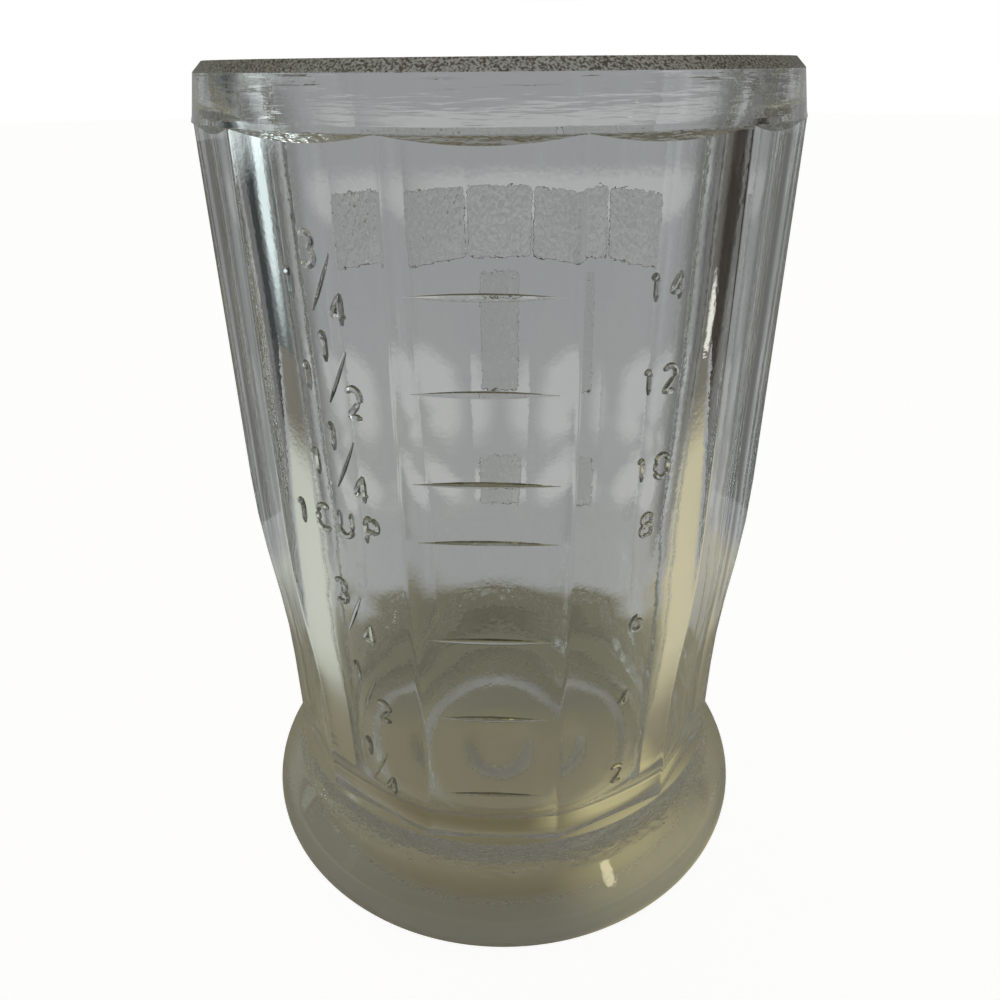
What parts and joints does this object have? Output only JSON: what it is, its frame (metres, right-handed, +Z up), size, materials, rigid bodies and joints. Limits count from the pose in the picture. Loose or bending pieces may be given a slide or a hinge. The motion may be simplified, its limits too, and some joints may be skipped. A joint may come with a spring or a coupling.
{
  "type": "glass mixer jar",
  "caption": "Tall pressed-glass measuring jar for a hand mixer, with flat upright panels, an open ground rim, raised measuring marks and a heavy round foot.",
  "frame": {"origin": "centre of the standing ring, on the surface that the jar stands on", "axes": "+Z up and out of the mouth, -Y out through the panel with the measuring lines, +X towards the ounce numbers and -X towards the fractions of a cup"},
  "size_m": [0.0938, 0.0938, 0.137],
  "materials": {
    "glass": "clear pressed glass with a faint grey tint, fire-polished",
    "raised_glass": "the same clear glass, raised from the wall"
  },
  "bodies": {
    "root": {"glass_jar": "glass", "level_lines": "raised_glass", "ounce_marks": "raised_glass", "cup_marks": "raised_glass", "label_fields": "raised_glass"}
  },
  "joints": []
}
